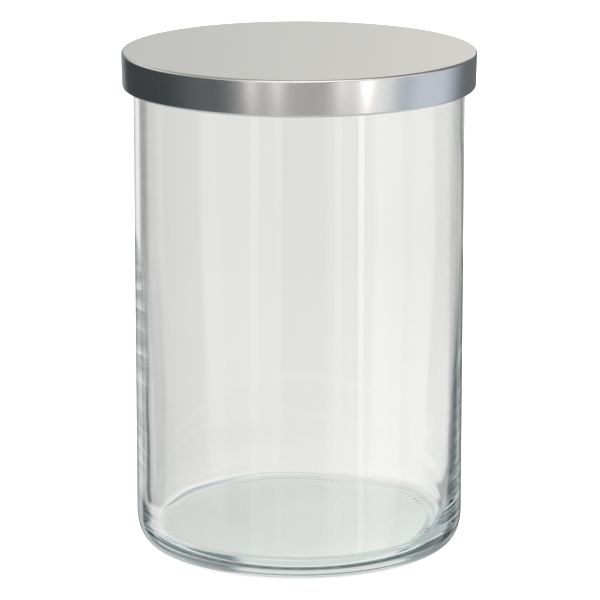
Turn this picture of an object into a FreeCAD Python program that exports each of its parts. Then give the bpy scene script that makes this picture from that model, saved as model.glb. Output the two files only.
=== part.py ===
"""Specimen jar: a blown-glass cylinder with a heavy foot, closed by a lift-off lid.

The lid is a pressed steel cap with a rolled hem, a moulded insert that the hem traps inside the cap,
and a silicone seal ring around the insert's plug. Every piece is turned about the Z axis.
Units are millimetres. The origin is at the centre of the foot, on the surface that the jar stands on,
with +Z up.
"""

import FreeCAD, Part
import math
import os

# Glass jar: mouth and wall
JAR_RADIUS = 60.0
JAR_HEIGHT = 179.8
BEAD_THICKNESS = 2.4
BEAD_OUTSET = 0.5
BEAD_BLEND = 3.0
WALL_AT_MOUTH = 1.5
WALL_AT_FOOT = 4.5
WALL_THINS_FROM = 24.0
WALL_THINS_TO = 116.0
WALL_BLEND = 0.15

# Glass jar: heel, foot and floor
HEEL_RISE = 12.0
HEEL_FULLNESS = 0.65
FOOT_OUTER_RADIUS = 51.0
FOOT_INNER_RADIUS = 47.6
PUSH_UP = 0.5
TOE_RADIUS = 54.5
TOE_HEIGHT = 9.8
TOE_SLOPE_DEG = 12.0
FLOOR_EDGE_RADIUS = 52.2
FLOOR_EDGE_HEIGHT = 7.8
FLOOR_CENTRE_HEIGHT = 8.4

# Lid cap, pressed from sheet
OVERALL_HEIGHT = 183.0
PANEL_RADIUS = 64.3
SKIRT_RADIUS = 64.0
SKIRT_HEIGHT = 13.2
SHEET = 0.5
LID_CORNER_RADIUS = 1.0
HEM_RADIUS = 1.0
HEM_TURN_DEG = 262.0

# Insert, moulded, held inside the cap by the hem
INSERT_DISC = 1.3
INSERT_WALL = 1.2
INSERT_CLEARANCE = 0.1
INSERT_CORNER_RADIUS = 1.1
PLUG_RADIUS = 56.2
PLUG_WALL = 1.6
PLUG_DEPTH = 9.4
SEAL_GROOVE_DEPTH = 0.9
PLUG_LIP_HEIGHT = 1.6
PLUG_LEAD_IN = 0.6
RIB_COUNT = 8
RIB_WIDTH = 1.2
RIB_DEPTH = 1.1
HUB_RADIUS = 9.0
RIB_OVERLAP = 0.2

# Seal ring, silicone
SEAL_CLEARANCE = 0.1
SEAL_FLANGE = 1.0
SEAL_FLANGE_RADIUS = 61.0
SEAL_BAND = 0.9
FIN_COUNT = 2
FIN_REACH_RADIUS = 57.75
FIN_THICKNESS = 0.7
FIN_TIP = 0.4
FIN_PITCH = 2.3
FIN_DROOP = 0.5

FULL_TURN = 360.0
QUARTER_PULL = 4 * (math.sqrt(2) - 1) / 3
Z_AXIS = FreeCAD.Vector(0, 0, 1)
ORIGIN = FreeCAD.Vector(0, 0, 0)


def at(radius, height):
    """A point of the half-plane that is turned about Z."""
    return FreeCAD.Vector(radius, 0, height)


class Outline:
    """A closed outline in the radius-height half-plane, drawn edge by edge and turned into a solid."""

    def __init__(self, radius, height):
        self.start = self.here = at(radius, height)
        self.edges = []

    def add(self, curve, end):
        self.edges.append(curve.toShape())
        self.here = end

    def line(self, radius, height):
        end = at(radius, height)
        self.add(Part.LineSegment(self.here, end), end)

    def arc(self, centre_radius, centre_height, turn_deg):
        """An arc about a centre. A positive turn goes from +radius towards +height."""
        centre = at(centre_radius, centre_height)
        spoke = self.here - centre

        def turned(degrees):
            c = math.cos(math.radians(degrees))
            s = math.sin(math.radians(degrees))
            return centre + at(spoke.x * c - spoke.z * s, spoke.x * s + spoke.z * c)

        end = turned(turn_deg)
        self.add(Part.Arc(self.here, turned(turn_deg / 2), end), end)

    def bezier(self, *poles):
        """A Bezier curve that sets off towards the first pole and ends at the last one."""
        curve = Part.BezierCurve()
        curve.setPoles([self.here, *poles])
        self.add(curve, poles[-1])

    def s_curve(self, radius, height, pull=0.5):
        """A smooth step from one upright wall to another, nearly straight when the pull is small."""
        reach = (height - self.here.z) * pull
        self.bezier(at(self.here.x, self.here.z + reach), at(radius, height - reach), at(radius, height))

    def rounded(self, corner, end, pull=QUARTER_PULL):
        """A rounded corner, which a stronger pull brings nearer to the corner point."""
        leaving = self.here + (corner - self.here) * pull
        arriving = end + (corner - end) * pull
        self.bezier(leaving, arriving, end)

    def crown(self, radius, height):
        """A shallow curve between the axis, where it is level, and another point."""
        level = self.here.z if self.here.x < radius else height
        self.bezier(at((self.here.x + radius) / 2, level), at(radius, height))

    def solid(self):
        if not self.here.isEqual(self.start, 1e-6):
            self.line(self.start.x, self.start.z)
        face = Part.Face(Part.Wire(self.edges))
        return face.revolve(ORIGIN, Z_AXIS, FULL_TURN)


def glass_jar():
    """One piece of glass: beaded mouth, wall that thickens downwards, full rounded heel and thick base."""
    bead_radius = BEAD_THICKNESS / 2
    bead_height = JAR_HEIGHT - bead_radius
    bead_outer = JAR_RADIUS + BEAD_OUTSET
    bead_inner = bead_outer - BEAD_THICKNESS
    neck_height = bead_height - BEAD_BLEND
    mouth_radius = JAR_RADIUS - WALL_AT_MOUTH
    lower_radius = JAR_RADIUS - WALL_AT_FOOT
    toe = at(TOE_RADIUS, TOE_HEIGHT)
    toe_lean = math.tan(math.radians(TOE_SLOPE_DEG))
    toe_start = at(lower_radius, TOE_HEIGHT + (lower_radius - TOE_RADIUS) / toe_lean)
    floor_edge = at(FLOOR_EDGE_RADIUS, FLOOR_EDGE_HEIGHT)
    floor_corner = at(TOE_RADIUS - (TOE_HEIGHT - FLOOR_EDGE_HEIGHT) * toe_lean, FLOOR_EDGE_HEIGHT)
    outline = Outline(0, PUSH_UP)
    outline.crown(FOOT_INNER_RADIUS, 0)
    outline.line(FOOT_OUTER_RADIUS, 0)
    outline.rounded(at(JAR_RADIUS, 0), at(JAR_RADIUS, HEEL_RISE), HEEL_FULLNESS)
    outline.line(JAR_RADIUS, neck_height)
    outline.s_curve(bead_outer, bead_height)
    outline.arc(bead_outer - bead_radius, bead_height, 180)
    outline.s_curve(mouth_radius, neck_height)
    outline.line(mouth_radius, WALL_THINS_TO)
    outline.s_curve(lower_radius, WALL_THINS_FROM, WALL_BLEND)
    outline.bezier(toe_start, toe)
    outline.rounded(floor_corner, floor_edge)
    outline.crown(0, FLOOR_CENTRE_HEIGHT)
    return outline.solid()


def lid_cap():
    """The pressed cap: a flat panel, a rounded corner, a skirt that leans in and a hem rolled inwards."""
    skirt_bottom = OVERALL_HEIGHT - SKIRT_HEIGHT
    hem_centre = (SKIRT_RADIUS - HEM_RADIUS, skirt_bottom + HEM_RADIUS)
    corner_centre = (PANEL_RADIUS - LID_CORNER_RADIUS, OVERALL_HEIGHT - LID_CORNER_RADIUS)
    inner_bend = HEM_RADIUS - SHEET
    hem_end = math.radians(-HEM_TURN_DEG)
    outline = Outline(0, OVERALL_HEIGHT)
    outline.line(corner_centre[0], OVERALL_HEIGHT)
    outline.arc(*corner_centre, -90)
    outline.line(SKIRT_RADIUS, hem_centre[1])
    outline.arc(*hem_centre, -HEM_TURN_DEG)
    outline.line(
        hem_centre[0] + inner_bend * math.cos(hem_end), hem_centre[1] + inner_bend * math.sin(hem_end)
    )
    outline.arc(*hem_centre, HEM_TURN_DEG)
    outline.line(PANEL_RADIUS - SHEET, corner_centre[1])
    outline.arc(*corner_centre, 90)
    outline.line(0, OVERALL_HEIGHT - SHEET)
    return outline.solid()


def insert_levels():
    """Heights and radii that the insert, its ribs and the seal ring share."""
    disc_top = OVERALL_HEIGHT - SHEET
    disc_bottom = disc_top - INSERT_DISC
    plug_bottom = disc_bottom - PLUG_DEPTH
    groove_radius = PLUG_RADIUS - SEAL_GROOVE_DEPTH
    return disc_top, disc_bottom, plug_bottom, groove_radius


def lid_insert():
    """The moulded insert: a disc, an outer wall that the hem traps and a plug wall grooved for the seal."""
    disc_top, disc_bottom, plug_bottom, groove_radius = insert_levels()
    outer_radius = SKIRT_RADIUS - SHEET - INSERT_CLEARANCE
    wall_bottom = OVERALL_HEIGHT - SKIRT_HEIGHT + 2 * HEM_RADIUS + INSERT_CLEARANCE
    plug_bore = groove_radius - PLUG_WALL
    outline = Outline(0, disc_top)
    outline.line(outer_radius - INSERT_CORNER_RADIUS, disc_top)
    outline.arc(outer_radius - INSERT_CORNER_RADIUS, disc_top - INSERT_CORNER_RADIUS, -90)
    outline.line(outer_radius, wall_bottom)
    outline.line(outer_radius - INSERT_WALL, wall_bottom)
    outline.line(outer_radius - INSERT_WALL, disc_bottom)
    outline.line(groove_radius, disc_bottom)
    outline.line(groove_radius, plug_bottom + PLUG_LIP_HEIGHT)
    outline.line(PLUG_RADIUS, plug_bottom + PLUG_LIP_HEIGHT)
    outline.line(PLUG_RADIUS, plug_bottom + PLUG_LEAD_IN)
    outline.arc(PLUG_RADIUS - PLUG_LEAD_IN, plug_bottom + PLUG_LEAD_IN, -90)
    outline.line(plug_bore, plug_bottom)
    outline.line(plug_bore, disc_bottom)
    outline.line(0, disc_bottom)
    insert = outline.solid()
    return insert.fuse(insert_ribs(plug_bore, disc_bottom)).removeSplitter()


def insert_ribs(reach, disc_bottom):
    """The hub and the radial ribs that stiffen the disc, overlapping it and the plug wall slightly."""
    bottom = disc_bottom - RIB_DEPTH
    height = RIB_DEPTH + RIB_OVERLAP
    hub = Part.makeCylinder(HUB_RADIUS, height, at(0, bottom))
    length = reach + RIB_OVERLAP
    ribs = []
    for index in range(RIB_COUNT):
        rib = Part.makeBox(length, RIB_WIDTH, height, FreeCAD.Vector(0, -RIB_WIDTH / 2, bottom))
        rib.rotate(ORIGIN, Z_AXIS, index * FULL_TURN / RIB_COUNT)
        ribs.append(rib)
    return hub.multiFuse(ribs)


def seal_ring():
    """The silicone ring: a flange over the mouth, a band around the plug and fins that wipe the glass."""
    _, disc_bottom, plug_bottom, groove_radius = insert_levels()
    top = disc_bottom - SEAL_CLEARANCE
    bottom = plug_bottom + PLUG_LIP_HEIGHT + SEAL_CLEARANCE
    bore = groove_radius + SEAL_CLEARANCE
    band_radius = bore + SEAL_BAND
    flange_bottom = top - SEAL_FLANGE
    outline = Outline(bore, top)
    outline.line(SEAL_FLANGE_RADIUS, top)
    outline.line(SEAL_FLANGE_RADIUS, flange_bottom)
    outline.line(band_radius, flange_bottom)
    for index in range(FIN_COUNT):
        root = bottom + FIN_DROOP + (FIN_COUNT - 1 - index) * FIN_PITCH
        tip = root - FIN_DROOP
        outline.line(band_radius, root + FIN_THICKNESS)
        outline.line(FIN_REACH_RADIUS, tip + FIN_TIP)
        outline.line(FIN_REACH_RADIUS, tip)
        outline.line(band_radius, root)
    outline.line(band_radius, bottom)
    outline.line(bore, bottom)
    return outline.solid()


PIECES = {
    "glass_jar": glass_jar,
    "lid_cap": lid_cap,
    "lid_insert": lid_insert,
    "seal_ring": seal_ring,
}

os.makedirs("parts", exist_ok=True)
for name, make in PIECES.items():
    piece = make()
    print(f"{name}: valid {piece.isValid()}, {len(piece.Solids)} solid, {piece.Volume / 1000:.1f} cm3")
    piece.exportStep(f"parts/{name}.step")
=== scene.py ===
"""Looks of the specimen jar: a clear glass cylinder with a heavy foot and a satin steel lid.

Lengths are in metres and angles in degrees. A point of an outline is its radius and its height.
"""

import math

import bpy
import numpy as np
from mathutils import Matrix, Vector


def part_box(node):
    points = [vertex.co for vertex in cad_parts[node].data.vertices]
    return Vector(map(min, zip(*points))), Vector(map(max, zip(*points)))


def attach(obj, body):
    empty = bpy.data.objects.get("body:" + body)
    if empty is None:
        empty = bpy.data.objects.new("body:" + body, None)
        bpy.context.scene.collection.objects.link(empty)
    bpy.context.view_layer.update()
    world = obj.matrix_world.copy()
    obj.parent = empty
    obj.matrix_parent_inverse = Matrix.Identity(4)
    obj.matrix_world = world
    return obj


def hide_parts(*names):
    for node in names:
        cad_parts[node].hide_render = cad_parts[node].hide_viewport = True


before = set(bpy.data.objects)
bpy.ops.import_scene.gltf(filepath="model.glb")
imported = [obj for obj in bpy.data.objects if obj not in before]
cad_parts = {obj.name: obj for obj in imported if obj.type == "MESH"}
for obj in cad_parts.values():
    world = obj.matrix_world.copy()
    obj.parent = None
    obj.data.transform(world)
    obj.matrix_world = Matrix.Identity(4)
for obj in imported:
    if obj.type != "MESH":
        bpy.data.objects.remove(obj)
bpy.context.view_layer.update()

# Jar, following the CAD glass. Steps are how many go round a piece, few enough that no piece has more
# than 200,000 triangles.
JAR_RADIUS = 0.060
JAR_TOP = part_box("glass_jar")[1].z
MOUTH_RADIUS = JAR_RADIUS - 0.0015
LOWER_RADIUS = JAR_RADIUS - 0.0045
WALL_THINS_FROM = 0.024
WALL_THINS_TO = 0.116
WALL_PULL = 0.15
TOE = (0.0545, 0.0098)
TOE_SLOPE = 12
BEAD_RADIUS = 0.0012
BEAD_OUTER = JAR_RADIUS + 0.0005
BEAD_BLEND = 0.003
HEEL_RISE = 0.012
HEEL_FULLNESS = 0.65
FOOT_OUTER = 0.051
FOOT_INNER = 0.0476
PUSH_UP = 0.0005
FLOOR_EDGE = (0.0522, 0.0078)
FLOOR_CENTRE = 0.0084
JAR_STEPS = 464

# Knurling pressed into the foot ring: fine radial grooves, each as wide as the tooth beside it
KNURL_EDGE = FOOT_INNER + 0.0004
KNURL_ROWS = (FOOT_INNER + 0.0010, FOOT_INNER + 0.0018)
KNURL_STEPS = 4
KNURL_DEPTH = 0.00012
FOOT_MARGIN = 0.0008

# Uneven inner wall. Each row is a ripple: how many around, the height of one, its phase in radians.
# Each pair of heights is where a feature starts and where it is at its full size.
RIPPLES = ((2, 0.170, 0.9), (3, 0.095, 2.6), (5, 0.060, 5.1), (4, 0.041, 1.7), (7, 0.029, 3.9))
RIPPLE_DEPTH = 0.000008
RIPPLE_LOW_SWELL = 1.5
SWELL_HEIGHTS = (0.090, 0.030)
UNEVEN_FROM_FLOOR = (0.012, 0.032)
UNEVEN_FROM_MOUTH = (0.172, 0.142)
CAVITY_BULGE = 0.0010
BULGE_FROM_MOUTH = (0.150, 0.090)

# Painted shade on the underside: a darker blue-green tint that stands for the floor in the jar's shadow,
# seen through the base
BASE_PAINTED_SHADE = (0.70, 0.755, 0.72, 1)
BASE_PAINTED_SHADE_TOP = 0.0008

# Silicone seal ring, inside the CAD seal. Each bend is a pole of a fin's curve: its radius, and its
# height above the fin's root.
SEAL_BORE = 0.0554
SEAL_BAND_RADIUS = SEAL_BORE + 0.0009
SEAL_LOW, SEAL_TOP = (corner.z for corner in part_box("seal_ring"))
SEAL_FLANGE = 0.0010
SEAL_FLANGE_RADIUS = 0.0610
SEAL_STEPS = 240
FIN_TIP_RADIUS = 0.00022
FIN_REACH = 0.05775
FIN_ROOTS = (SEAL_LOW + 0.0004, SEAL_LOW + 0.0027)
FIN_ROOT_THICKNESS = 0.0008
FIN_DROOP = 0.0004
FIN_BEND_UNDER = (SEAL_BAND_RADIUS + 0.0006, -0.0001)
FIN_BEND_OVER = (SEAL_BAND_RADIUS + 0.0005, 0.0005)

# Pressed cap, following the CAD cap
CAP_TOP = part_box("lid_cap")[1].z
PANEL_RADIUS = 0.0643
SKIRT_RADIUS = 0.0640
SKIRT_HEIGHT = 0.0132
SHEET = 0.0005
CAP_CORNER_RADIUS = 0.0010
HEM_RADIUS = 0.0010
HEM_TURN = 262
FLAT_MARGIN = 0.0004
CAP_STEPS = 480

# Camera, floor and light
LENS_MM = 237.05
SENSOR_MM = 36.0
CAMERA_DISTANCE = 24.127 * JAR_RADIUS
CAMERA_TARGET_HEIGHT = 1.5 * JAR_RADIUS
CAMERA_PITCH = 13.3
CAMERA_SHIFT = 0.0015
CAMERA_REACH = 50
FLOOR_HALF = 6.0
FLOOR_DROP = 0.0002
FLOOR_GLOW = 0.70
LIGHT_BOUNCES = 64

# Edges that turn by more than this stay sharp, and points nearer to the axis than this are on it
SHARP_ANGLE = 40
ON_AXIS = 1e-7

# How far towards its corner point a curve is pulled to make a quarter circle
QUARTER_PULL = 4 * (math.sqrt(2) - 1) / 3

# Parts of the jar's outline that uneven_glass treats in their own way
PLAIN = 0
FOOT_RING = 1
INNER_WALL = 2


class Outline:
    """Points of a cross-section, as radius and height, with the part of the jar that each one is on."""

    def __init__(self, radius, height):
        self.points = [(radius, height)]
        self.parts = [PLAIN]
        self.part = PLAIN

    def _extend(self, points):
        self.points += [tuple(point) for point in points]
        self.parts += [self.part] * len(points)

    def bezier(self, *poles, steps=12):
        share = np.linspace(0, 1, steps + 1)[1:, None]
        rows = [np.array([pole]) for pole in (self.points[-1], *poles)]
        while len(rows) > 1:
            rows = [low + (high - low) * share for low, high in zip(rows, rows[1:])]
        self._extend(rows[0])

    def line(self, radius, height, steps=1):
        self.bezier((radius, height), steps=steps)

    def s_curve(self, radius, height, pull=0.5, steps=12):
        """Upright at both ends; a small pull makes it nearly straight between them."""
        start, start_height = self.points[-1]
        reach = (height - start_height) * pull
        self.bezier((start, start_height + reach), (radius, height - reach), (radius, height), steps=steps)

    def rounded(self, corner, end, pull=QUARTER_PULL, steps=14):
        """A rounded corner, which a stronger pull brings nearer to the corner point."""
        start, corner, end = np.array(self.points[-1]), np.array(corner), np.array(end)
        leaving = start + (corner - start) * pull
        arriving = end + (corner - end) * pull
        self.bezier(leaving, arriving, end, steps=steps)

    def arc(self, centre_radius, centre_height, turn_deg, steps=12):
        """An arc about a centre. A positive turn goes from +radius towards +height."""
        centre = np.array((centre_radius, centre_height))
        spoke = np.array(self.points[-1]) - centre
        angles = np.radians(np.linspace(0, turn_deg, steps + 1)[1:])
        self._extend([
            centre + (spoke[0] * c - spoke[1] * s, spoke[0] * s + spoke[1] * c)
            for c, s in zip(np.cos(angles), np.sin(angles))
        ])


def link_to_scene(name, data):
    thing = bpy.data.objects.new(name, data)
    bpy.context.scene.collection.objects.link(thing)
    return thing


def lathe(name, outline, steps, uneven=None):
    """A mesh object: the outline turned about Z. A point on the axis becomes a single corner."""
    points = np.array(outline.points)
    angle = np.arange(steps) * 2 * math.pi / steps
    radius = np.repeat(points[:, :1], steps, 1)
    height = np.repeat(points[:, 1:], steps, 1)
    if uneven:
        radius, height = uneven(radius, height, angle[None], np.array(outline.parts)[:, None])
    on_axis = points[:, 0] < ON_AXIS
    verts, rings = [], []
    for row, single in enumerate(on_axis):
        if single:
            rings.append([len(verts)] * steps)
            verts.append((0, 0, height[row, 0]))
        else:
            rings.append(range(len(verts), len(verts) + steps))
            verts += zip(radius[row] * np.cos(angle), radius[row] * np.sin(angle), height[row])
    # An outline that starts off the axis is a loop, so its last ring joins the first
    closing = [] if on_axis[0] else rings[:1]
    faces = []
    for low, high in zip(rings, rings[1:] + closing):
        for here in range(steps):
            there = (here + 1) % steps
            corners = dict.fromkeys((low[here], low[there], high[there], high[here]))
            faces.append(tuple(corners))
    mesh = bpy.data.meshes.new(name)
    mesh.from_pydata(verts, [], faces)
    mesh.polygons.foreach_set("use_smooth", [True] * len(mesh.polygons))
    mesh.set_sharp_from_angle(angle=math.radians(SHARP_ANGLE))
    mesh.update()
    return link_to_scene(name, mesh)


def ramp(value, start, end):
    """From 0 at the start to 1 at the end, and level beyond them."""
    return np.clip((value - start) / (end - start), 0, 1)


def uneven_glass(radius, height, angle, part):
    """Soft ripples and a bulge in the inner wall, and knurling on the foot ring."""
    ripple = sum(
        np.sin(count * angle + 2 * math.pi * height / length + start) for count, length, start in RIPPLES
    )
    swell = 1 + RIPPLE_LOW_SWELL * ramp(height, *SWELL_HEIGHTS)
    ripple = ripple * swell * ramp(height, *UNEVEN_FROM_MOUTH) * RIPPLE_DEPTH
    bulge = CAVITY_BULGE * (1 + np.cos(angle)) / 2 * ramp(height, *BULGE_FROM_MOUTH)
    radius = radius + (part == INNER_WALL) * ramp(height, *UNEVEN_FROM_FLOOR) * (ripple + bulge)
    groove = np.arange(angle.shape[1])[None] % KNURL_STEPS < KNURL_STEPS / 2
    height = height + (part == FOOT_RING) * groove * KNURL_DEPTH
    return radius, height


def jar_outline():
    """From the middle of the underside, out and up the outer wall, over the bead and down to the floor."""
    bead_height = JAR_TOP - BEAD_RADIUS
    neck = bead_height - BEAD_BLEND
    outline = Outline(0, PUSH_UP)
    outline.bezier((FOOT_INNER / 2, PUSH_UP), (FOOT_INNER, 0), steps=28)
    outline.line(KNURL_EDGE, 0)
    outline.part = FOOT_RING
    for row in KNURL_ROWS:
        outline.line(row, 0)
    outline.part = PLAIN
    outline.line(FOOT_OUTER - FOOT_MARGIN, 0)
    outline.line(FOOT_OUTER, 0)
    outline.rounded((JAR_RADIUS, 0), (JAR_RADIUS, HEEL_RISE), pull=HEEL_FULLNESS, steps=24)
    outline.line(JAR_RADIUS, neck, steps=40)
    outline.s_curve(BEAD_OUTER, bead_height, steps=8)
    outline.arc(BEAD_OUTER - BEAD_RADIUS, bead_height, 180, steps=14)
    outline.part = INNER_WALL
    outline.s_curve(MOUTH_RADIUS, neck, steps=8)
    outline.line(MOUTH_RADIUS, WALL_THINS_TO, steps=16)
    outline.s_curve(LOWER_RADIUS, WALL_THINS_FROM, pull=WALL_PULL, steps=26)
    toe_lean = math.tan(math.radians(TOE_SLOPE))
    toe_start = (LOWER_RADIUS, TOE[1] + (LOWER_RADIUS - TOE[0]) / toe_lean)
    outline.bezier(toe_start, TOE, steps=14)
    floor_corner = (TOE[0] - (TOE[1] - FLOOR_EDGE[1]) * toe_lean, FLOOR_EDGE[1])
    outline.rounded(floor_corner, FLOOR_EDGE, steps=18)
    outline.bezier((FLOOR_EDGE[0] / 2, FLOOR_CENTRE), (0, FLOOR_CENTRE), steps=14)
    return outline


def seal_outline():
    """A flange over the mouth, a band around the plug, and drooping fins with round tips."""
    rim = SEAL_FLANGE / 2
    outline = Outline(SEAL_BORE, SEAL_LOW)
    outline.line(SEAL_BAND_RADIUS, SEAL_LOW)
    for root in FIN_ROOTS:
        tip = (FIN_REACH - FIN_TIP_RADIUS, root - FIN_DROOP + FIN_TIP_RADIUS)
        outline.line(SEAL_BAND_RADIUS, root)
        under = (FIN_BEND_UNDER[0], root + FIN_BEND_UNDER[1])
        outline.bezier(under, (tip[0], tip[1] - FIN_TIP_RADIUS), steps=6)
        outline.arc(*tip, 180, steps=8)
        over = (FIN_BEND_OVER[0], root + FIN_BEND_OVER[1])
        outline.bezier(over, (SEAL_BAND_RADIUS, root + FIN_ROOT_THICKNESS), steps=6)
    outline.line(SEAL_BAND_RADIUS, SEAL_TOP - SEAL_FLANGE)
    outline.line(SEAL_FLANGE_RADIUS - rim, SEAL_TOP - SEAL_FLANGE)
    outline.arc(SEAL_FLANGE_RADIUS - rim, SEAL_TOP - rim, 180, steps=10)
    outline.line(SEAL_BORE, SEAL_TOP)
    return outline


def cap_outline():
    """One thin sheet: a flat panel, a rounded corner, a skirt that leans in and a hem rolled inwards."""
    corner = (PANEL_RADIUS - CAP_CORNER_RADIUS, CAP_TOP - CAP_CORNER_RADIUS)
    hem = (SKIRT_RADIUS - HEM_RADIUS, CAP_TOP - SKIRT_HEIGHT + HEM_RADIUS)
    curl_end = math.radians(-HEM_TURN)
    outline = Outline(0, CAP_TOP - SHEET)
    outline.line(corner[0] - FLAT_MARGIN, CAP_TOP - SHEET)
    outline.line(corner[0], CAP_TOP - SHEET)
    outline.arc(*corner, -90, steps=8)
    outline.line(SKIRT_RADIUS - SHEET, hem[1])
    outline.arc(*hem, -HEM_TURN, steps=20)
    outline.line(hem[0] + HEM_RADIUS * math.cos(curl_end), hem[1] + HEM_RADIUS * math.sin(curl_end))
    outline.arc(*hem, HEM_TURN, steps=28)
    outline.line(PANEL_RADIUS, corner[1])
    outline.arc(*corner, 90, steps=16)
    outline.line(corner[0] - FLAT_MARGIN, CAP_TOP)
    outline.line(0, CAP_TOP)
    return outline


# Nodes that the materials and the studio share

# Places of the Mix node's sockets: the share, the value at 0 and the value at 1
MIX_VALUES = (0, 2, 3)
MIX_COLOURS = (0, 6, 7)
MIX_COLOUR_RESULT = 2
WHITE = (1, 1, 1, 1)


def feed(tree, node, values):
    """Links or sets each (socket, value) pair and gives the node's first output."""
    for socket, value in values:
        if isinstance(value, bpy.types.NodeSocket):
            tree.links.new(value, node.inputs[socket])
        else:
            node.inputs[socket].default_value = value
    return node.outputs[0]


def mix_colour(tree, share, low, high):
    """The low colour where the share is 0 and the high colour where it is 1."""
    node = tree.nodes.new("ShaderNodeMix")
    node.data_type = "RGBA"
    feed(tree, node, zip(MIX_COLOURS, (share, low, high)))
    return node.outputs[MIX_COLOUR_RESULT]


def remap(tree, value, start, end, low, high, kind="LINEAR"):
    """Takes a value from the range between start and end to the range between low and high."""
    node = tree.nodes.new("ShaderNodeMapRange")
    node.interpolation_type = kind
    return feed(tree, node, enumerate((value, start, end, low, high)))


# Materials

NOISE_RANGE = (0.3, 0.7)
GLASS_COLOUR = (0.75, 0.925, 0.92, 1)
GLASS_DENSITY = 4.0
STEEL_COLOUR = (0.655, 0.652, 0.645, 1)
PLASTIC_COLOUR = (0.80, 0.80, 0.775, 1)
SILICONE_COLOUR = (0.74, 0.76, 0.75, 1)
FLOOR_COLOUR = (0.9, 0.9, 0.9, 1)


def new_material(name, **inputs):
    """A material, its node tree and its shader, with values set on the shader's own sockets."""
    material = bpy.data.materials.new(name)
    material.use_nodes = True
    tree = material.node_tree
    shader = tree.nodes["Principled BSDF"]
    feed(tree, shader, ((socket.replace("_", " "), value) for socket, value in inputs.items()))
    return material, tree, shader


def object_coordinates(tree):
    return tree.nodes.new("ShaderNodeTexCoord").outputs["Object"]


def noise(tree, scale, detail=2):
    """A noise value over the piece, with its scale in ripples per metre."""
    texture = tree.nodes.new("ShaderNodeTexNoise")
    place = object_coordinates(tree)
    return feed(tree, texture, (("Vector", place), ("Scale", scale), ("Detail", detail)))


def vary_roughness(tree, shader, scale, detail, low, high):
    """Roughness that wanders between two values over the surface."""
    roughness = remap(tree, noise(tree, scale, detail), *NOISE_RANGE, low, high)
    tree.links.new(roughness, shader.inputs["Roughness"])


def add_bumps(tree, shader, *bumps):
    """A relief of noise for each (scale, depth in metres), each one on top of those before it."""
    relief = ()
    for scale, depth in bumps:
        height = noise(tree, scale)
        node = tree.nodes.new("ShaderNodeBump")
        normal = feed(tree, node, (("Strength", 1.0), ("Distance", depth), ("Height", height), *relief))
        relief = (("Normal", normal),)
    feed(tree, shader, relief)


def clear_glass():
    """Glass that turns blue-green with its thickness, with painted shade darkening its underside."""
    material, tree, shader = new_material("clear_glass", Roughness=0.0, IOR=1.52, Transmission_Weight=1.0)
    split = tree.nodes.new("ShaderNodeSeparateXYZ")
    tree.links.new(object_coordinates(tree), split.inputs[0])
    # Painted shade: the underside is tinted darker up to this height, standing for the shadowed floor seen
    # through it
    above = remap(tree, split.outputs["Z"], BASE_PAINTED_SHADE_TOP / 2, BASE_PAINTED_SHADE_TOP, 0.0, 1.0)
    tree.links.new(mix_colour(tree, above, BASE_PAINTED_SHADE, WHITE), shader.inputs["Base Color"])
    volume = tree.nodes.new("ShaderNodeVolumeAbsorption")
    absorbed = feed(tree, volume, (("Color", GLASS_COLOUR), ("Density", GLASS_DENSITY)))
    tree.links.new(absorbed, tree.nodes["Material Output"].inputs["Volume"])
    return material


def satin_steel():
    """Stainless sheet with a fine blasted satin finish that is a little uneven."""
    material, tree, shader = new_material("satin_steel", Base_Color=STEEL_COLOUR, Metallic=1.0)
    vary_roughness(tree, shader, scale=1300, detail=3, low=0.20, high=0.25)
    add_bumps(tree, shader, (1300, 0.000005), (2600, 0.000003))
    return material


def insert_plastic():
    """Moulded off-white plastic: the gloss comes and goes with the flow of the melt."""
    material, tree, shader = new_material("insert_plastic", Base_Color=PLASTIC_COLOUR, IOR=1.49)
    vary_roughness(tree, shader, scale=90, detail=3, low=0.34, high=0.50)
    add_bumps(tree, shader, (1800, 0.000008))
    return material


def silicone():
    """Soft, slightly cloudy rubber that light sinks into."""
    material, tree, shader = new_material(
        "silicone",
        Base_Color=SILICONE_COLOUR,
        IOR=1.41,
        Subsurface_Weight=0.6,
        Subsurface_Radius=(1.0, 1.0, 1.0),
        Subsurface_Scale=0.0012,
    )
    vary_roughness(tree, shader, scale=260, detail=2, low=0.42, high=0.58)
    return material


def floor_paper():
    """Matt pale paper with a glow of its own, so that the jar's shadow on it stays faint."""
    material, _, _ = new_material(
        "floor_paper",
        Base_Color=FLOOR_COLOUR,
        Roughness=1.0,
        Specular_IOR_Level=0.0,
        Emission_Color=WHITE,
        Emission_Strength=FLOOR_GLOW,
    )
    return material


def paint(piece, material):
    piece.data.materials.clear()
    piece.data.materials.append(material)


# Studio. "facing" is degrees round from the front (-Y) towards +X, "behind" is degrees round from the
# back (+Y) towards +X, and "rise" is degrees above the horizon. A pair of angles is where a change
# starts and where it ends, and two numbers after them are the values there.

# Lights that the metal and the front of the glass reflect: facing, half width, soft edge, brightness
SOFT_LIGHTS = (
    (-66, 14, 36, 0.09),
    (-8, 32, 34, 0.46),
    (28, 9, 14, 0.34),
    (35, 4, 7, 0.50),
    (54, 12, 18, 1.0),
    (95, 24, 28, 0.77),
    (150, 30, 20, 0.11),
    (-172, 16, 12, 0.40),
)
STRIPS = (
    (-31, 3.0, 3, 1.1),
    (-14, 2.5, 3, 1.2),
    (27, 2.5, 2, 1.2),
    (43.5, 2.2, 1.2, 3.3),
)
UNLIT = 0.065
STRIPS_RISE = (-17, -9, 0.3, 1.0)
TABLE_RISE = (-20, -45)
TABLE_LEVEL = 0.8

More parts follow.
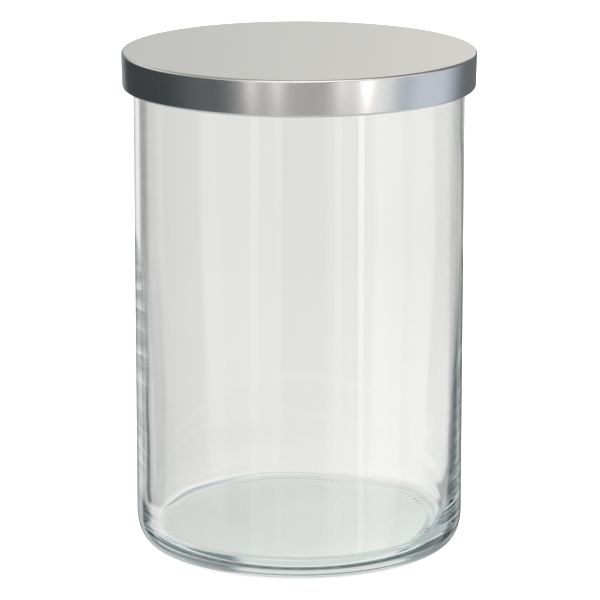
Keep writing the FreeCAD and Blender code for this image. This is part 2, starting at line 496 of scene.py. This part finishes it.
# Above the lights: sheets all round, then the ceiling, with a dark screen at the back right
LOW_TO_HIGH = (3, 11)
SHEETS_AROUND = 4
HIGH_LEVEL = 0.84
HIGH_SWING = 0.65
HIGH_EVEN_RISE = (12, 22)
CEILING_RISE = (26, 44)
CEILING_FACING = 10
CEILING_EDGE = (62, 44, 0.45, 1.7)
SCREEN_FACING = 132
SCREEN_EDGE = (40, 16)
SCREEN_RISE = (70, 56)
SCREEN_LEVEL = 0.2

# Pale screens that only the smooth glass mirrors, by how far to either side of the front they are
NEAR_SCREEN = ((104, 120), (135, 127))
FAR_SCREEN = ((144, 150), (163, 156))
FAR_SCREEN_SIDES = (-10, 10, 1.0, 0.4)
GLASS_SCREEN_LEVEL = 1.1

# Pale sheets that the glass shows behind it: the middle of each one, and half its width
MAIN_SHEET = -7.75
MAIN_HALF = (-23, -28, 24.25, 14)
SIDE_SHEETS = (-93, 132)
SIDES_RISE = (12, 5)
LOW_SHEET = -48
LOW_SHEET_RISE = (-20.5, -23)
SHEET_HALF = 30
SHEET_SOFTNESS = 3
ALL_SHEET_RISES = ((28, 36), (-42, -50))

# Brightness of the sheets, with the rises over which it changes, and of the gaps between them
PALE_WAVE_MIDDLE = 0.15
PALE_BY_WAVE = (-0.9, 0.9, 0.71, 0.96)
PALE_BY_RISE = (-12, -20, 0.96, 1.03)
PALE_CHANGES = (((-8, -3), 0.80), ((4, 10), 0.70), ((-42, -54), 0.68), ((20, 26), 0.88))
DARK_BY_RISE = (-10, 2, 0.13, 0.22)
DARK_LOW_RISE = (-24, -28)
DARK_LOW_LEVEL = 0.50

DIFFUSE_LEVEL = 1.3
CAMERA_LEVEL = 1.0

# Tints. An edge is how far from the middle of a side its tint starts, and where it is full.
WARM = (1.0, 0.998, 0.975, 1)
COOL = (0.86, 1.0, 1.03, 1)
LEFT_COOL = (0.90, 1.0, 1.04, 1)
LEFT_SIDE = -110
LEFT_EDGE = (78, 58)
FRONT_WARM = (1.01, 1.0, 0.98, 1)
RIGHT_COOL = (0.91, 1.0, 1.11, 1)
RIGHT_SIDE = 112
RIGHT_EDGE = (64, 34)
CEILING_WARM = (1.01, 1.0, 0.955, 1)


class Studio:
    """The world as an expression of direction. Each method adds nodes, and gives their output to build."""

    def __init__(self):
        world = bpy.data.worlds.new("studio")
        world.use_nodes = True
        world.cycles.sampling_method = "NONE"
        bpy.context.scene.world = world
        self.tree = world.node_tree
        self.tree.nodes.clear()
        split = self.node("SeparateXYZ")
        self.tree.links.new(self.node("TexCoord").outputs["Generated"], split.inputs[0])
        x, y, z = split.outputs
        self.behind = self.calc("DEGREES", self.calc("ARCTAN2", x, y))
        self.facing = self.calc("DEGREES", self.calc("ARCTAN2", x, self.calc("MULTIPLY", y, -1.0)))
        self.rise = self.calc("DEGREES", self.calc("ARCSINE", z))
        self.ray = self.node("LightPath").outputs

    def node(self, kind):
        return self.tree.nodes.new("ShaderNode" + kind)

    def calc(self, operation, *values):
        node = self.node("Math")
        node.operation = operation
        return feed(self.tree, node, enumerate(values))

    def mix(self, share, low, high):
        return feed(self.tree, self.node("Mix"), zip(MIX_VALUES, (share, low, high)))

    def tint(self, share, low, high):
        return mix_colour(self.tree, share, low, high)

    def step(self, value, start, end, low=0.0, high=1.0):
        """A smooth step from low to high as the value goes from start to end."""
        return remap(self.tree, value, start, end, low, high, kind="SMOOTHSTEP")

    def by_rise(self, change):
        return self.step(self.rise, *change)

    def around(self, facing, edge):
        """A smooth step over an edge that is given in degrees away from a facing."""
        return self.step(self.away(self.facing, facing), *edge)

    def between(self, value, rising, falling):
        """1 from the end of the rising pair to the end of the falling pair, and 0 beyond their starts."""
        return self.calc("MULTIPLY", self.step(value, *rising), self.step(value, *falling))

    def wave(self, angle, count, middle, swing=1.0):
        """middle plus swing times the sine of count times the angle."""
        sine = self.calc("SINE", self.calc("RADIANS", self.calc("MULTIPLY", angle, count)))
        return self.calc("MULTIPLY_ADD", sine, swing, middle)

    def away(self, angle, centre):
        """How far an angle is from the centre, either way round."""
        turned = self.calc("SUBTRACT", angle, centre)
        return self.calc("ABSOLUTE", self.calc("WRAP", turned, 180.0, -180.0))

    def sheet(self, centre, half=SHEET_HALF):
        past_edge = self.calc("SUBTRACT", self.away(self.behind, centre), half)
        return self.step(past_edge, SHEET_SOFTNESS, -SHEET_SOFTNESS)

    def sheet_share(self):
        """How much of a sheet the glass shows behind it. Far up and far down, sheets are all around."""
        main = self.sheet(MAIN_SHEET, self.by_rise(MAIN_HALF))
        sides = self.calc("MAXIMUM", *(self.sheet(centre) for centre in SIDE_SHEETS))
        sides = self.calc("MULTIPLY", sides, self.by_rise(SIDES_RISE))
        low = self.calc("MULTIPLY", self.sheet(LOW_SHEET), self.by_rise(LOW_SHEET_RISE))
        share = self.calc("MAXIMUM", main, self.calc("MAXIMUM", sides, low))
        for rises in ALL_SHEET_RISES:
            share = self.mix(self.by_rise(rises), share, 1.0)
        return share

    def seen_through(self, share):
        """How bright the sheets and the gaps between them are."""
        pale = self.step(self.wave(self.behind, SHEETS_AROUND, PALE_WAVE_MIDDLE), *PALE_BY_WAVE)
        pale = self.calc("MULTIPLY", pale, self.by_rise(PALE_BY_RISE))
        for rises, level in PALE_CHANGES:
            pale = self.mix(self.by_rise(rises), pale, level)
        dark = self.step(self.rise, *DARK_LOW_RISE, self.by_rise(DARK_BY_RISE), DARK_LOW_LEVEL)
        return self.mix(share, dark, pale)

    def lights(self, row):
        total = 0.0
        for facing, half, soft, brightness in row:
            light = self.around(facing, (half + soft / 2, half - soft / 2, 0, brightness))
            total = self.calc("ADD", light, total)
        return total

    def reflected(self):
        """What the metal mirrors: lights low down, sheets above them, and a pale ceiling."""
        strips = self.calc("MULTIPLY", self.lights(STRIPS), self.by_rise(STRIPS_RISE))
        low = self.calc("ADD", UNLIT, self.calc("ADD", self.lights(SOFT_LIGHTS), strips))
        low = self.mix(self.by_rise(TABLE_RISE), low, TABLE_LEVEL)
        sheets = self.wave(self.behind, SHEETS_AROUND, HIGH_LEVEL, HIGH_SWING)
        sheets = self.mix(self.by_rise(HIGH_EVEN_RISE), sheets, HIGH_LEVEL)
        high = self.mix(self.by_rise(CEILING_RISE), sheets, self.around(CEILING_FACING, CEILING_EDGE))
        screen = self.around(SCREEN_FACING, SCREEN_EDGE)
        screen = self.calc("MULTIPLY", screen, self.by_rise(SCREEN_RISE))
        high = self.mix(screen, high, SCREEN_LEVEL)
        return self.mix(self.by_rise(LOW_TO_HIGH), low, high)

    def mirrored_by_glass(self, reflected):
        """The smooth glass also mirrors two pale screens on each side."""
        aside = self.calc("ABSOLUTE", self.facing)
        near = self.between(aside, *NEAR_SCREEN)
        far = self.between(aside, *FAR_SCREEN)
        far = self.calc("MULTIPLY", far, self.step(self.facing, *FAR_SCREEN_SIDES))
        return self.mix(self.calc("MAXIMUM", near, far), reflected, GLASS_SCREEN_LEVEL)

    def reflected_tint(self):
        """Cool light low on both sides, and warm light in front and above."""
        low = self.tint(self.around(LEFT_SIDE, LEFT_EDGE), FRONT_WARM, LEFT_COOL)
        low = self.tint(self.around(RIGHT_SIDE, RIGHT_EDGE), low, RIGHT_COOL)
        return self.tint(self.by_rise(LOW_TO_HIGH), low, CEILING_WARM)

    def build(self):
        """Gives each kind of ray its own level and tint. Singular rays come from mirror-smooth glass."""
        share = self.sheet_share()
        reflected = self.reflected()
        level = self.mix(self.ray["Is Singular Ray"], reflected, self.mirrored_by_glass(reflected))
        level = self.mix(self.ray["Is Transmission Ray"], level, self.seen_through(share))
        level = self.mix(self.ray["Is Diffuse Ray"], level, DIFFUSE_LEVEL)
        level = self.mix(self.ray["Is Camera Ray"], level, CAMERA_LEVEL)
        colour = self.tint(self.ray["Is Singular Ray"], self.reflected_tint(), WHITE)
        colour = self.tint(self.ray["Is Transmission Ray"], colour, self.tint(share, COOL, WARM))
        for plain in ("Is Diffuse Ray", "Is Camera Ray"):
            colour = self.tint(self.ray[plain], colour, WHITE)
        background = feed(self.tree, self.node("Background"), (("Color", colour), ("Strength", level)))
        self.tree.links.new(background, self.node("OutputWorld").inputs[0])


def pale_floor():
    """A matt floor just under the foot ring, which the glass and the metal don't mirror or show."""
    corners = [(x, y, 0) for x, y in ((-1, -1), (1, -1), (1, 1), (-1, 1))]
    mesh = bpy.data.meshes.new("studio_floor")
    mesh.from_pydata(corners, [], [(0, 1, 2, 3)])
    plane = link_to_scene("studio_floor", mesh)
    plane.scale = (FLOOR_HALF, FLOOR_HALF, 1)
    plane.location.z = -FLOOR_DROP
    plane.visible_transmission = False
    plane.visible_glossy = False
    paint(plane, floor_paper())


def camera():
    """Looks at the axis of the jar from the front and a little above."""
    data = bpy.data.cameras.new("camera")
    data.lens = LENS_MM
    data.sensor_width = SENSOR_MM
    data.shift_x = CAMERA_SHIFT
    data.clip_end = CAMERA_REACH
    eye = link_to_scene("camera", data)
    pitch = math.radians(CAMERA_PITCH)
    back = Vector((0, -math.cos(pitch), math.sin(pitch)))
    eye.location = Vector((0, 0, CAMERA_TARGET_HEIGHT)) + back * CAMERA_DISTANCE
    eye.rotation_euler = (math.pi / 2 - pitch, 0, 0)
    bpy.context.scene.camera = eye


jar = lathe("jar_glass", jar_outline(), JAR_STEPS, uneven_glass)
paint(jar, clear_glass())
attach(jar, "jar")
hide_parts("glass_jar")

cap = lathe("cap_steel", cap_outline(), CAP_STEPS)
paint(cap, satin_steel())
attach(cap, "lid")
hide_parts("lid_cap")

seal = lathe("seal_silicone", seal_outline(), SEAL_STEPS)
paint(seal, silicone())
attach(seal, "seal")
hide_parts("seal_ring")

paint(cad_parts["lid_insert"], insert_plastic())

Studio().build()
pale_floor()
camera()

scene = bpy.context.scene
scene.view_settings.view_transform = "Standard"
scene.cycles.max_bounces = LIGHT_BOUNCES
scene.cycles.transmission_bounces = LIGHT_BOUNCES
scene.cycles.glossy_bounces = LIGHT_BOUNCES
scene.cycles.use_denoising = True
